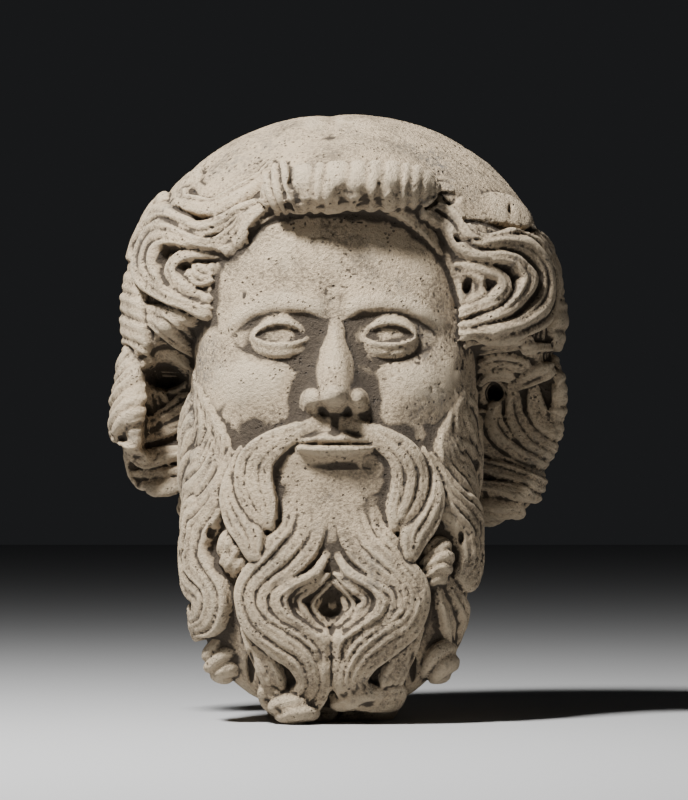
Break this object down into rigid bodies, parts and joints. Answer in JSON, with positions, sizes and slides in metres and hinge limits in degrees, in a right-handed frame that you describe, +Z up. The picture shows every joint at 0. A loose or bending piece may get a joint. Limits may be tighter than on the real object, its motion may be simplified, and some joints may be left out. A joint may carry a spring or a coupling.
{
  "type": "limestone head",
  "caption": "Carved limestone head of a bearded man with a rolled forelock, waved and curled hair, and a forked curling beard, broken off at the neck.",
  "frame": {"origin": "on the flat underside of the broken neck, below the middle of the head", "axes": "+Z up, +X to the viewer's right, the face looks along -Y"},
  "size_m": [0.3338, 0.2982, 0.43],
  "materials": {
    "limestone": "weathered, matt, fine-grained"
  },
  "bodies": {
    "root": {"head": "limestone"}
  },
  "joints": []
}
